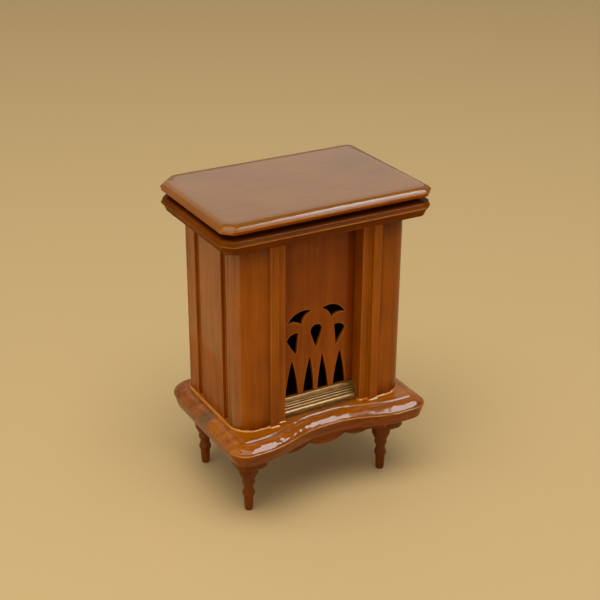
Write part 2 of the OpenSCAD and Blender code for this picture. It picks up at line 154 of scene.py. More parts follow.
class Recipe:
    """A node material under construction: a Principled shader and what feeds it."""

    def __init__(self, name):
        self.material = bpy.data.materials.new(name)
        self.material.use_nodes = True
        self.tree = self.material.node_tree
        self.shader = self.tree.nodes["Principled BSDF"]

    def put(self, socket, value):
        """Gives an input a fixed value, or links it to another node's output."""
        if isinstance(value, bpy.types.NodeSocket):
            self.tree.links.new(value, socket)
        else:
            socket.default_value = value

    def node(self, kind, inputs=(), **settings):
        """A new shader node with its settings and inputs, which are named or numbered."""
        made = self.tree.nodes.new("ShaderNode" + kind)
        for key, value in settings.items():
            setattr(made, key, value)
        for key, value in dict(inputs).items():
            self.put(made.inputs[key], value)
        return made

    def shade(self, **inputs):
        """Sets inputs of the Principled shader, with underscores for the spaces in their names."""
        for key, value in inputs.items():
            self.put(self.shader.inputs[key.replace("_", " ")], value)

    def place(self, seed, stretch=(1, 1, 1)):
        """Object coordinates, squeezed by stretch and shifted so that no two materials match."""
        where = self.node("TexCoord").outputs["Object"]
        shift = (0.37 * seed, 0.19 * seed, 0.53 * seed)
        return self.node("Mapping", {"Vector": where, "Location": shift, "Scale": stretch}).outputs["Vector"]

    def noise(self, where, scale, detail=3, roughness=0.55, distortion=0):
        inputs = {"Vector": where, "Scale": scale, "Detail": detail, "Roughness": roughness,
                  "Distortion": distortion}
        return self.node("TexNoise", inputs).outputs["Fac"]

    def ramp(self, value, stops):
        """Maps a value to colours or greys through stops of (position, colour)."""
        made = self.node("ValToRGB", {"Fac": value})
        points = made.color_ramp.elements
        while len(points) < len(stops):
            points.new(0.5)
        for point, (at, colour) in zip(points, stops):
            point.position = at
            point.color = (*colour, 1) if isinstance(colour, tuple) else (colour, colour, colour, 1)
        return made.outputs["Color"]

    def math(self, operation, a, b):
        made = self.node("Math", operation=operation)
        self.put(made.inputs[0], a)
        self.put(made.inputs[1], b)
        return made.outputs[0]

    def mix(self, blend, factor, a, b):
        """Blends colour b over colour a; sockets 6, 7 and 2 are the node's colour inputs and output."""
        made = self.node("Mix", data_type="RGBA", blend_type=blend)
        self.put(made.inputs[0], factor)
        self.put(made.inputs[6], a if isinstance(a, bpy.types.NodeSocket) else (*a, 1))
        self.put(made.inputs[7], b if isinstance(b, bpy.types.NodeSocket) else (*b, 1))
        return made.outputs[2]

    def facing(self, axis, start, end, low=0.0, high=1.0):
        """Low where the object's own normal has start along that axis, high where it has end."""
        normal = self.node("SeparateXYZ", {0: self.node("TexCoord").outputs["Normal"]}).outputs[axis]
        limits = {"Value": normal, "From Min": start, "From Max": end, "To Min": low, "To Max": high}
        return self.node("MapRange", limits).outputs["Result"]

    def along(self, axis, start, end, low, high):
        """Low up to start millimetres along that axis, high from end on."""
        where = self.node("SeparateXYZ", {0: self.node("TexCoord").outputs["Object"]}).outputs[axis]
        limits = {"Value": where, "From Min": start * MM, "From Max": end * MM, "To Min": low, "To Max": high}
        return self.node("MapRange", limits).outputs["Result"]

    def hollows(self, reach):
        """0 deep in a corner, 1 in the open."""
        return self.node("AmbientOcclusion", {"Distance": reach * MM}, samples=6).outputs["AO"]

    def edges(self, reach):
        """1 along a convex edge, 0 on a flat face."""
        inside = self.node("AmbientOcclusion", {"Distance": reach * MM}, samples=6, inside=True)
        return self.math("SUBTRACT", 1.0, inside.outputs["AO"])

    def line(self, height, half_width):
        """1 along a level painted highlight at that height in millimetres, broken here and there, faint off
        the front.
        """
        z = self.node("SeparateXYZ", {0: self.node("TexCoord").outputs["Object"]}).outputs["Z"]
        away = self.math("ABSOLUTE", self.math("SUBTRACT", z, height * MM), 0.0)
        limits = {"Value": away, "From Min": half_width * MM, "From Max": 0.3 * half_width * MM}
        near = self.node("MapRange", limits).outputs["Result"]
        broken = self.ramp(self.noise(self.place(LINE_SEED), 260, detail=2), [(0.3, 0.35), (0.55, 0.9)])
        front = self.facing("Y", -0.1, -0.6, 0.12, 1.0)
        return self.math("MULTIPLY", self.math("MULTIPLY", near, broken), front)

    def patch(self, point, radius):
        """A ragged blot round a point in millimetres."""
        here = self.node("TexCoord").outputs["Object"]
        ends = {0: here, 1: tuple(MM * c for c in point)}
        away = self.node("VectorMath", ends, operation="DISTANCE").outputs["Value"]
        ragged = self.math("MULTIPLY", self.noise(self.place(PATCH_SEED), 700, detail=3), 1.6 * radius * MM)
        reach = self.math("SUBTRACT", self.math("ADD", away, ragged), 0.8 * radius * MM)
        limits = {"Value": reach, "From Min": radius * MM, "From Max": 0.55 * radius * MM, "To Max": 0.75}
        return self.node("MapRange", limits).outputs["Result"]

    def bump(self, height, strength, depth, under=None):
        """A normal roughened by a height, on top of another bump where under is given."""
        inputs = {"Height": height, "Strength": strength, "Distance": depth * MM}
        if under is not None:
            inputs["Normal"] = under
        return self.node("Bump", inputs).outputs["Normal"]


WHITE = (1.0, 1.0, 1.0)
POOLED_STAIN = (0.22, 0.12, 0.06)    # multiplies the wood's colour where stain has run into a joint
RECESS_SHADE = (0.40, 0.26, 0.12)
CHAMBER_SHADE = (0.09, 0.08, 0.07)
GREY_PATCH_TONE = (0.125, 0.080, 0.034)
RUBBED_AND_GLINT_GAINS = (1.6, 2.1, 4.0)       # how much brighter than the lightest tone an edge is, from rubbing and from a painted highlight
# how much brighter than the lightest tone the painted highlight along an arris is
ARRIS_HIGHLIGHT_GAINS = (1.7, 2.4, 5.0)
TONE_STOPS = (0.36, 0.5, 0.64)
CORNICE_SHADOW_HEIGHTS = (69, 75)             # heights between which the painted shadow under the cornice fades in
GRAIN = {"X": (0.05, 1, 1), "Y": (1, 0.05, 1), "Z": (1, 1, 0.05)}


def brightened(tone, gains):
    return tuple(min(1.0, c * gain) for c, gain in zip(tone, gains))


def lacquered_wood(name, tones, along, seed, coat=0.7, coat_ior=1.36, streaks=1.0, peel=1.0, other=None,
                   seam=0.85, shade=0.0, wear_and_glint=0.5, arris=None, grey_patch=None, chamber=None):
    """Stained hardwood under thick brushed lacquer: grain, pores, pooled stain, edges lightened by rubbing
    and by painted highlight.

    tones are dark, middle and light, and along is the grain's axis.
    other is (axis, start, end, tones), the tones of faces that turn to that axis. They are a lighter or
    darker
    copy of the wood: painted light and shade.
    coat may be (front, left, up), one for the faces that turn each way. Its front is (axis, start, end,
    low, high) and changes along that axis.
    streaks scales the grain's contrast and peel the lacquer's unevenness.
    seam darkens the joints between pieces, shade paints shade into wider recesses and a painted shadow under
    the cornice, and wear brightens edges by rubbing and by a painted highlight.
    arris is (height, half width) of a painted highlight line in millimetres.
    scuff is (point, radius) of a ragged greyish patch in millimetres.
    chamber is (half width, front) of the painted shade on the floor of the space inside the case. It has no
    rear limit, so the base board's ledge behind the case is dark too.
    """
    r = Recipe(name)
    grain = r.place(seed, GRAIN[along])
    streak = r.noise(grain, 900, detail=4, roughness=0.6, distortion=0.4)
    figure = r.noise(grain, 190, detail=2, distortion=1.2)
    cloud = r.noise(r.place(seed + 5), 55, detail=2)
    tone = r.math("MULTIPLY", streak, 0.42 * streaks)
    tone = r.math("ADD", tone, r.math("MULTIPLY", figure, 0.30 * streaks))
    tone = r.math("ADD", tone, r.math("MULTIPLY", cloud, 0.28))
    tone = r.math("ADD", tone, 0.36 * (1 - streaks))
    colour = r.ramp(tone, list(zip(TONE_STOPS, tones)))
    if other:
        axis, start, end, second = other
        colour = r.mix("MIX", r.facing(axis, start, end), colour, r.ramp(tone, list(zip(TONE_STOPS, second))))
    pores = r.ramp(r.noise(grain, 4200, detail=2), [(0.33, 0.55), (0.43, 1.0)])
    colour = r.mix("MULTIPLY", 0.35, colour, pores)
    pooled = r.ramp(r.hollows(0.9), [(0.25, POOLED_STAIN), (0.8, WHITE)])
    colour = r.mix("MULTIPLY", seam, colour, pooled)
    # painted shade in wider recesses, and a painted shadow under the cornice
    if shade:
        dim = r.ramp(r.hollows(6.0), [(0.45, RECESS_SHADE), (0.92, WHITE)])
        colour = r.mix("MULTIPLY", shade, colour, dim)
        colour = r.mix("MULTIPLY", shade, colour, r.along("Z", *CORNICE_SHADOW_HEIGHTS, 1.0, 0.62))
    # edges lightened partly by rubbing through the stain and partly as a painted highlight
    worn_and_glint = r.math("MULTIPLY", r.ramp(r.edges(0.32), [(0.12, 0.0), (0.5, 1.0)]), wear_and_glint)
    colour = r.mix("MIX", worn_and_glint, colour, brightened(tones[2], RUBBED_AND_GLINT_GAINS))
    if chamber:
        half_width, front = chamber
        middle = r.math("MULTIPLY", r.along("X", -half_width - 0.5, -half_width, 0.0, 1.0),
                        r.along("X", half_width, half_width + 0.5, 1.0, 0.0))
        within = r.math("MULTIPLY", middle, r.along("Y", front, front + 1.0, 0.0, 1.0))
        colour = r.mix("MULTIPLY", within, colour, CHAMBER_SHADE)
    # a painted highlight along the arris
    if arris:
        colour = r.mix("MIX", r.line(*arris), colour, brightened(tones[2], ARRIS_HIGHLIGHT_GAINS))
    if grey_patch:
        colour = r.mix("MIX", r.patch(*grey_patch), colour, GREY_PATCH_TONE)
    brushed = r.noise(r.place(seed + 2, GRAIN[along]), 240, detail=1)
    orange_peel = r.noise(r.place(seed + 7), 420, detail=2, roughness=0.4)
    soft = r.bump(r.math("ADD", brushed, orange_peel), 0.55 * peel, 0.05)
    fine = r.bump(streak, 0.25, 0.012, under=soft)
    rough = r.ramp(cloud, [(0.3, 0.30), (0.7, 0.42)])
    r.shade(Base_Color=colour, Roughness=rough, Normal=fine, Coat_Normal=soft)
    if isinstance(coat, tuple):
        front, left, upward = coat
        coat = r.facing("Z", 0.7, 0.93, r.facing("X", -0.3, -0.6, r.along(*front), left), upward)
    r.shade(Coat_Weight=coat, Coat_Roughness=0.06, Coat_IOR=coat_ior, IOR=1.4, Specular_IOR_Level=0.0)
    return r.material


def bare_wood(name, dark, light, along, seed):
    """Unfinished softwood on the hidden inner pieces."""
    r = Recipe(name)
    grain = r.place(seed, GRAIN[along])
    rings = r.noise(grain, 520, detail=4, roughness=0.65, distortion=0.8)
    colour = r.ramp(rings, [(0.3, dark), (0.65, light)])
    # darker in the corners
    darker_in_corners = r.ramp(r.hollows(1.2), [(0.2, 0.35), (0.8, 1.0)])
    colour = r.mix("MULTIPLY", 0.8, colour, darker_in_corners)
    r.shade(Base_Color=colour, Roughness=r.ramp(rings, [(0.3, 0.62), (0.7, 0.8)]),
            Normal=r.bump(rings, 0.5, 0.04), Specular_IOR_Level=0.3)
    return r.material


GRIME = (0.13, 0.07, 0.02)


def gilt(name, deep, face, bright, seed):
    """Gold-painted metal, dull in the grooves, and bright on the ridges from rubbing and from a painted
    highlight.
    """
    r = Recipe(name)
    mottled = r.noise(r.place(seed, (0.3, 1, 1)), 1500, detail=4, roughness=0.6)
    colour = r.ramp(mottled, [(0.35, deep), (0.6, face)])
    grime = r.ramp(r.hollows(0.45), [(0.25, GRIME), (0.85, WHITE)])
    colour = r.mix("MULTIPLY", 0.9, colour, grime)
    # ridges brightened by rubbing and by a painted highlight
    rubbed_and_glint = r.ramp(r.edges(0.16), [(0.1, 0.0), (0.5, 1.0)])
    colour = r.mix("MIX", r.math("MULTIPLY", rubbed_and_glint, 0.65), colour, bright)
    r.shade(Base_Color=colour, Metallic=0.65, Roughness=r.ramp(mottled, [(0.3, 0.36), (0.7, 0.5)]),
            Normal=r.bump(mottled, 0.35, 0.02), Coat_Weight=0.3, Coat_Roughness=0.15)
    return r.material


def paper(name, base, spots, seed):
    """Printed card under a film of varnish, as on a miniature dial."""
    r = Recipe(name)
    fibre = r.noise(r.place(seed), 2600, detail=4)
    stain = r.noise(r.place(seed + 1), 140, detail=3)
    colour = r.ramp(r.math("MULTIPLY", fibre, stain), [(0.15, spots), (0.33, base)])
    r.shade(Base_Color=colour, Roughness=r.ramp(stain, [(0.3, 0.35), (0.7, 0.5)]),
            Normal=r.bump(fibre, 0.3, 0.01), Coat_Weight=0.6, Coat_Roughness=0.12)
    return r.material


# Tones of stain, each dark, middle and light.
AMBER = ((0.20, 0.043, 0.0008), (0.33, 0.080, 0.0018), (0.45, 0.124, 0.0035))
GOLDEN = ((0.215, 0.051, 0.0006), (0.352, 0.092, 0.0013), (0.49, 0.143, 0.0026))
TAWNY = ((0.145, 0.030, 0.0004), (0.242, 0.056, 0.0010), (0.33, 0.088, 0.0020))
CEDAR = ((0.108, 0.023, 0.0002), (0.176, 0.040, 0.0004), (0.255, 0.064, 0.0009))
# near black: the painted shade on the back board's inner face
INNER_SHADE_TONES = ((0.008, 0.003, 0.001), (0.014, 0.005, 0.002), (0.022, 0.009, 0.003))
RUSSET = ((0.19, 0.036, 0.0004), (0.31, 0.066, 0.0010), (0.42, 0.100, 0.0020))
HONEY = ((0.17, 0.056, 0.002), (0.245, 0.082, 0.004), (0.31, 0.110, 0.007))
WALNUT = ((0.035, 0.008, 0.0008), (0.075, 0.018, 0.0015), (0.13, 0.032, 0.003))
CHESTNUT = ((0.100, 0.020, 0.0003), (0.180, 0.038, 0.0008), (0.26, 0.060, 0.0016))

# Colours of the gilt strip and the hinges (deep, face, bright), and of the card, its ink and the raw wood.
ANTIQUE_GILT = ((0.080, 0.036, 0.005), (0.21, 0.100, 0.016), (0.70, 0.42, 0.10))
POLISHED_BRASS = ((0.34, 0.21, 0.07), (0.62, 0.43, 0.17), (0.85, 0.68, 0.36))
CARD = ((0.62, 0.50, 0.27), (0.40, 0.27, 0.10))
INK = ((0.030, 0.016, 0.010), (0.015, 0.008, 0.005))
PINE = ((0.36, 0.20, 0.085), (0.62, 0.42, 0.22))

# Painted highlight lines along the arrises, as (height, half width).
BASE_ARRIS_HIGHLIGHT = (23.12, 0.16)
CORNICE_ARRIS_HIGHLIGHT = (77.65, 0.11)
LID_ARRIS_HIGHLIGHT = (81.55, 0.13)

BASE_GREY_PATCH = ((-27.4, -1.3, 24.2), 3.0)          # a ragged greyish patch on the left of the base board
CHAMBER_FLOOR = (21.5, -9.8)                     # half width and front of the painted shade on the floor behind the fretwork
LID_COAT = (("X", -26, 2, 0.08, 0.2), 0.6, 1.0)  # least on the front, and least of all at its left end


def make_materials():
    """Every material by the short name that the pieces ask for it with."""
    m = {}
    # faces that turn upwards take GOLDEN and the rest TAWNY: painted light on the deck and shoulder, painted
    # shade below
    m["base"] = lacquered_wood("base_lacquer", TAWNY, "X", 1, coat=0.82, peel=0.8, seam=0.3,
                               other=("Z", 0.5, 1.1, GOLDEN), arris=BASE_ARRIS_HIGHLIGHT, grey_patch=BASE_GREY_PATCH,
                               chamber=CHAMBER_FLOOR)
    m["apron"] = lacquered_wood("apron_lacquer", CHESTNUT, "X", 2)
    m["block"] = lacquered_wood("block_lacquer", CHESTNUT, "X", 3)
    m["leg"] = lacquered_wood("leg_lacquer", CHESTNUT, "Z", 4, streaks=0.7)
    m["side"] = lacquered_wood("side_lacquer", AMBER, "Z", 6, streaks=0.8)
    m["post"] = lacquered_wood("post_lacquer", AMBER, "Z", 8, streaks=0.6, seam=0.6, shade=1.0)
    m["strip"] = lacquered_wood("strip_lacquer", AMBER, "Z", 9, streaks=0.6, seam=0.0)
    m["inner_strip"] = lacquered_wood("inner_strip_lacquer", AMBER, "Z", 10, streaks=0.6, seam=0.0)
    m["fret"] = lacquered_wood("fret_lacquer", RUSSET, "Z", 11, streaks=0.5, seam=0.2, shade=1.0, wear_and_glint=1.0)
    m["cornice"] = lacquered_wood("cornice_lacquer", CEDAR, "X", 12, coat=0.16, streaks=0.6,
                                  arris=CORNICE_ARRIS_HIGHLIGHT)
    # faces that turn upwards take the paler HONEY: painted light and reflection on the lid's top
    m["lid"] = lacquered_wood("lid_lacquer", RUSSET, "X", 13, coat=LID_COAT, coat_ior=1.5, streaks=0.3,
                              peel=0.7, other=("Z", 0.2, 0.85, HONEY), arris=LID_ARRIS_HIGHLIGHT)
    m["rim"] = lacquered_wood("rim_lacquer", WALNUT, "X", 14, coat=0.4)
    # the back board's rear face takes CHESTNUT, and its inner face is near black as painted shade
    m["back"] = lacquered_wood("back_stain_and_shade", INNER_SHADE_TONES, "Z", 15, coat=0.4, other=("Y", -0.5, 0.5, CHESTNUT))
    m["deck"] = lacquered_wood("deck_lacquer", AMBER, "X", 16)
    m["knob"] = lacquered_wood("knob_lacquer", WALNUT, "Z", 17, coat=1.0, streaks=0.6)
    m["raw"] = bare_wood("raw_pine", *PINE, "Y", 18)
    m["gilt"] = gilt("gilt_brass", *ANTIQUE_GILT, 19)
    m["hinge"] = gilt("hinge_brass", *POLISHED_BRASS, 20)
    m["dial"] = paper("dial_card", *CARD, 21)
    m["ink"] = paper("dial_ink", *INK, 22)
    m["varnish"] = lacquered_wood("varnish_bead", GOLDEN, "Z", 23, coat=1.0, streaks=0.2, peel=2.0)
    return m


# ---- mesh tools -------------------------------------------------------------------


def box_mm(node):
    """Corners of a CAD node's box, in millimetres."""
    low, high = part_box(node)
    return low / MM, high / MM


def arc(centre, radius, start, end, steps):
    """Points of an arc in degrees, both ends included."""
    found = []
    for i in range(steps + 1):
        a = math.radians(start + (end - start) * i / steps)
        found.append((centre[0] + radius * math.cos(a), centre[1] + radius * math.sin(a)))
    return found


def crown(start, end, rise, steps):
    """Points from start to end on a shallow arc that stands off the straight line by rise."""
    (x0, z0), (x1, z1) = start, end
    length = math.dist(start, end)
    out = (-(z1 - z0) / length, (x1 - x0) / length)
    points = []
    for i in range(steps + 1):
        t = i / steps
        lift = 4 * rise * t * (1 - t)
        points.append((x0 + (x1 - x0) * t + out[0] * lift, z0 + (z1 - z0) * t + out[1] * lift))
    return points


def make_object(name, bm, smooth=40):
    """Turns a bmesh in millimetres into an object in metres, smooth up to that angle between faces."""
    bmesh.ops.recalc_face_normals(bm, faces=bm.faces)
    bmesh.ops.scale(bm, vec=(MM, MM, MM), verts=bm.verts)
    mesh = bpy.data.meshes.new(name)
    bm.to_mesh(mesh)
    bm.free()
    mesh.shade_smooth()
    mesh.set_sharp_from_angle(angle=math.radians(smooth))
    made = bpy.data.objects.new(name, mesh)
    scene.collection.objects.link(made)
    return made


def settle(obj):
    """Applies the object's modifiers."""
    evaluated = obj.evaluated_get(bpy.context.evaluated_depsgraph_get())
    mesh = bpy.data.meshes.new_from_object(evaluated)
    mesh.name = obj.name
    obj.modifiers.clear()
    obj.data = mesh


def rounded(obj, width, segments, angle=35):
    """Rounds the object's edges that are sharper than angle, and shades it smooth."""
    bevel = obj.modifiers.new("round", "BEVEL")
    bevel.width = width * MM
    bevel.segments = segments
    bevel.limit_method = "ANGLE"
    bevel.angle_limit = math.radians(angle)
    bevel.miter_outer = "MITER_ARC"
    normals = obj.modifiers.new("normals", "WEIGHTED_NORMAL")
    normals.keep_sharp = False
    settle(obj)
    obj.data.shade_smooth()
    return obj


def weigh(obj):
    """Lets the large flat faces set the shading where they meet a rounded edge."""
    normals = obj.modifiers.new("normals", "WEIGHTED_NORMAL")
    normals.keep_sharp = True
    settle(obj)


WELD = 0.002        # vertices of the CAD mesh closer than this become one
COPLANAR = 0.8      # degrees, up to which neighbouring CAD triangles become one face
ON_FACE = 0.01      # how close to a node's outermost plane its face's vertices lie


def softened(node, width, segments=3, angle=35, sink=(0, 0)):
    """A copy of a CAD node as clean faces with its sharp edges rounded.

    sink is (outwards, back): how far its outer and its back face reach on into the piece behind.
    """
    bm = bmesh.new()
    bm.from_mesh(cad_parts[node].data)
    bmesh.ops.scale(bm, vec=(1 / MM, 1 / MM, 1 / MM), verts=bm.verts)
    bmesh.ops.remove_doubles(bm, verts=bm.verts, dist=WELD)
    bmesh.ops.dissolve_limit(bm, angle_limit=math.radians(COPLANAR), verts=bm.verts, edges=bm.edges)
    rear = max(v.co.y for v in bm.verts)
    outer = max(abs(v.co.x) for v in bm.verts)
    for v in bm.verts:
        v.co.x += math.copysign(sink[0], v.co.x) if abs(v.co.x) > outer - ON_FACE else 0
        v.co.y += sink[1] if v.co.y > rear - ON_FACE else 0
    made = make_object(node + "_finish", bm, smooth=60)
    return rounded(made, width, segments, angle)


def add_rings(bm, rings):
    """Skins a stack of closed rings of equal length, and caps its ends."""
    rows = [[bm.verts.new(p) for p in ring] for ring in rings]
    for low, high in zip(rows, rows[1:]):
        count = len(low)
        for i in range(count):
            k = (i + 1) % count
            bm.faces.new((low[i], low[k], high[k], high[i]))
    bm.faces.new(list(reversed(rows[0])))
    bm.faces.new(rows[-1])


def lathe(name, profile, axis, steps=48, ripple=None):
    """Turns a profile of (radius, z) about a vertical axis; ripple(angle, z) scales the radius."""
    bm = bmesh.new()
    rings = []
    for radius, z in profile:
        ring = []
        for i in range(steps):
            a = 2 * math.pi * i / steps
            r = radius * (ripple(a, z) if ripple else 1)
            ring.append((axis[0] + r * math.cos(a), axis[1] + r * math.sin(a), z))
        rings.append(ring)
    add_rings(bm, rings)
    return make_object(name, bm)


def smooth_profile(points, steps):
    """A Catmull-Rom curve through the points of a profile, with steps to each stretch."""
    ends = [points[0]] + list(points) + [points[-1]]
    found = []
    for i in range(1, len(ends) - 2):
        a, b, c, d = (Vector(p) for p in ends[i - 1:i + 3])
        for k in range(steps):
            t = k / steps
            bend, twist = 2 * a - 5 * b + 4 * c - d, 3 * b - a - 3 * c + d
            p = 0.5 * (2 * b + (c - a) * t + bend * t * t + twist * t ** 3)
            found.append((p.x, p.y))
    return found + [tuple(points[-1])]


def finish(obj, body, slot, material, *nodes):
    """Gives a piece its material and its body, and hides the CAD nodes that it stands for. slot is not used.
    """
    obj.data.materials.clear()
    obj.data.materials.append(material)
    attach(obj, body)
    if nodes:
        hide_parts(*nodes)


def paint(node, material):
    """Gives its material to a CAD node that is shown as it is."""
    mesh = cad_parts[node].data
    mesh.materials.clear()
    mesh.materials.append(material)


def waves(point, size, seed):
    """A smooth random height from -1 to 1 with features of that size in millimetres."""
    p = Vector(point) / size + Vector((3.7, 1.3, 8.1)) * seed
    return noise.noise(p)


# ---- mouldings: base board, cornice and lid ---------------------------------------


BASE_CORNER = 4.6            # more than the profile's last inset, or the corners would turn inside out
BASE_REAR_CORNER = 7.0
BASE_HOLLOW = 4.0            # how far the front curves in at the middle
LOBE_X = 20.5                # from here outwards the front stands out furthest
HOLLOW_FLAT = 2.0            # half the straight stretch at the middle of the hollow
FRONT_STEPS = 72


def base_outline(low, high, inset):
    """Outline of the base board: round corners, and a front that is hollow in the middle."""
    half = high.x - BASE_CORNER
    front = low.y + BASE_CORNER
    radius = BASE_CORNER - inset
    rear_half, rear = high.x - BASE_REAR_CORNER, high.y - BASE_REAR_CORNER
    rear_radius = BASE_REAR_CORNER - inset
    points = arc((rear_half, rear), rear_radius, 0, 90, 14)
    points += arc((-rear_half, rear), rear_radius, 90, 180, 14)
    points += arc((-half, front), radius, 180, 270, 12)
    for i in range(1, FRONT_STEPS):
        x = half * (2 * i / FRONT_STEPS - 1)
        t = min(max((abs(x) - HOLLOW_FLAT) / (LOBE_X - HOLLOW_FLAT), 0), 1)
        y = low.y + BASE_HOLLOW - BASE_HOLLOW * (1 - math.cos(math.pi * t)) / 2
        points.append((x, y + inset))
    points += arc((half, front), radius, 270, 360, 12)
    return points


FRONT_CLIP = 2.7
REAR_CLIP = 4.6
LID_RIGHT_CLIP = 1.6         # the lid's rear right corner is hardly clipped
LID_EASE = 1.6               # radii that ease the clipped corners
CORNICE_EASE = 2.4
SMALLEST_EASE = 0.6


def lid_outline(low, high, inset, ease, right):
    """Outline of the lid and the cornice: a rectangle with clipped corners, eased by a radius.

    right is how much is clipped off the rear right corner.
    """
    r = max(ease - 0.3 * inset, SMALLEST_EASE)
    ends = 0.414 * r - 0.586 * inset
    front, left, right = (max(clip + ends, 1.2 * r) for clip in (FRONT_CLIP, REAR_CLIP, right))
    x, y0, y1 = high.x - inset, low.y + inset, high.y - inset
    corners = [((x - r, y1 - right), 0), ((x - right, y1 - r), 45), ((-x + left, y1 - r), 90),
               ((-x + r, y1 - left), 135), ((-x + r, y0 + front), 180), ((-x + front, y0 + r), 225),
               ((x - front, y0 + r), 270), ((x - r, y0 + front), 315)]
    points = []
    for centre, start in corners:
        points += arc(centre, r, start, start + 45, 5)
    return points


def resampled(outline, inset, longest):
    """The inset outline, divided like the uninset one so that all rings match."""
    whole = outline(0)
    shrunk = outline(inset)
    count = len(whole)
    points = []
    for i in range(count):
        k = (i + 1) % count
        (x0, y0), (x1, y1) = shrunk[i], shrunk[k]
        pieces = max(1, math.ceil(math.dist(whole[i], whole[k]) / longest))
        for j in range(pieces):
            t = j / pieces
            points.append((x0 + (x1 - x0) * t, y0 + (y1 - y0) * t))
    return points


def moulded(name, outline, profile, longest, wave, wave_size=2.4):
    """A board whose edge follows a profile of (inset, z), with a faint waviness of the lacquer.

    The waves keep off the underside and the flat top, and never rise above it.
    """
    bm = bmesh.new()
    rings = []
    bottom, last_inset = profile[0][1], profile[-1][0]
    crest = max(z for _, z in profile)
    for inset, z in profile:
        ring = []
        for x, y in resampled(outline, inset, longest):
            p = Vector((x, y, z))
            if z > bottom + 0.3 and inset < last_inset - 0.01:
                lift = wave * (waves(p, wave_size, 1) + 0.45 * waves(p, 0.35 * wave_size, 2))
                p.z = min(z + lift, crest)
            ring.append(p)
        rings.append(ring)
    add_rings(bm, rings)
    return make_object(name, bm, smooth=50)


def make_base_board(m):
    """Base board: a tapering underside, an arris, a crowned shoulder, and a quirk round the flat deck."""
    low, high = box_mm("base_board")
    bottom, top = low.z, high.z
    arris = top - 2.2
    under = [(1.9, bottom), (1.25, bottom + 0.04), (0.98, bottom + 0.25), (0.75, bottom + 1.1),
             (0.5, bottom + 1.9), (0.32, arris - 0.62), (0.12, arris - 0.42), (0.02, arris - 0.2)]
    nose = [(0.0, arris - 0.02), (0.06, arris + 0.14), (0.2, arris + 0.22), (0.36, arris + 0.26)]
    shoulder = crown((0.36, arris + 0.3), (3.25, top - 0.3), 0.24, 14)
    quirk = [(3.34, top - 0.36), (3.48, top - 0.38), (3.62, top - 0.3), (3.76, top - 0.12),
             (3.92, top - 0.02), (4.1, top)]
    profile = smooth_profile(under, 2) + nose + shoulder + quirk
    board = moulded("base_board_finish", lambda d: base_outline(low, high, d), profile, 0.45, wave=0.15,
                    wave_size=3.2)
    weigh(board)
    finish(board, "cabinet", "case_wood", m["base"], "base_board")


WELL_LOW = (-19.4, -7.0)
WELL_HIGH = (19.4, 10.6)
WELL_MARGIN = 1     # how far the cutter stands out above and below the cornice


def make_cornice(m):
    """Cornice: a cove under a lip, a leaning band, and the well cut through it."""
    low, high = box_mm("cornice")
    bottom, top = low.z, high.z
    cove = [(1.8, bottom), (1.34, bottom + 0.02), (1.2, bottom + 0.12), (1.1, bottom + 0.35),
            (0.92, bottom + 0.85), (0.6, bottom + 1.45), (0.34, bottom + 1.84), (0.14, bottom + 2.04),
            (0.03, bottom + 2.16)]
    lip = [(0.0, bottom + 2.28), (0.02, bottom + 2.36), (0.08, bottom + 2.41), (0.17, bottom + 2.44)]
    band = [(0.21, bottom + 2.5), (0.24, bottom + 2.6), (0.32, bottom + 2.95), (0.44, top - 0.38),
            (0.62, top - 0.2), (0.86, top - 0.08), (1.2, top - 0.02), (1.5, top)]
    profile = smooth_profile(cove, 2) + lip + band
    cornice = moulded("cornice_finish", lambda d: lid_outline(low, high, d, CORNICE_EASE, REAR_CLIP), profile,
                      1.0, wave=0.02)
    (x0, y0), (x1, y1) = WELL_LOW, WELL_HIGH
    cutter_mesh = bmesh.new()
    add_rings(cutter_mesh, [[(x0, y0, z), (x1, y0, z), (x1, y1, z), (x0, y1, z)]
                            for z in (bottom - WELL_MARGIN, top + WELL_MARGIN)])
    cutter = make_object("cutter", cutter_mesh)
    cut = cornice.modifiers.new("well", "BOOLEAN")
    cut.operation = "DIFFERENCE"
    cut.solver = "EXACT"
    cut.object = cutter
    settle(cornice)
    bpy.data.objects.remove(cutter)
    cornice.data.set_sharp_from_angle(angle=math.radians(40))
    weigh(cornice)
    finish(cornice, "cabinet", "case_wood", m["cornice"], "cornice")


def make_lid(m):
    """Lid board with a crowned shoulder that rolls into its flat top, and the rim under it."""
    low, high = box_mm("lid_board")
    bottom, top = low.z, high.z
    under = [(3.0, bottom), (0.8, bottom + 0.01), (0.42, bottom + 0.06), (0.28, bottom + 0.16),
             (0.22, bottom + 0.32), (0.16, bottom + 0.68), (0.1, bottom + 0.82), (0.02, bottom + 0.9)]
    shoulder = [(0.0, bottom + 0.98)] + crown((0.07, bottom + 1.1), (1.56, top - 0.17), 0.1, 8)
    roll = [(1.66, top - 0.13), (1.8, top - 0.1), (2.05, top - 0.07), (2.4, top - 0.044), (2.8, top - 0.022),
            (3.2, top - 0.008), (3.6, top)]
    profile = under + shoulder + roll
    lid = moulded("lid_board_finish", lambda d: lid_outline(low, high, d, LID_EASE, LID_RIGHT_CLIP), profile,
                  1.0, wave=0.015)
    weigh(lid)
    finish(lid, "lid", "case_wood", m["lid"], "lid_board")
    rim = softened("lid_rim", 0.12)
    finish(rim, "lid", "case_wood", m["rim"], "lid_rim")


# ---- legs, blocks and apron --------------------------------------------------------

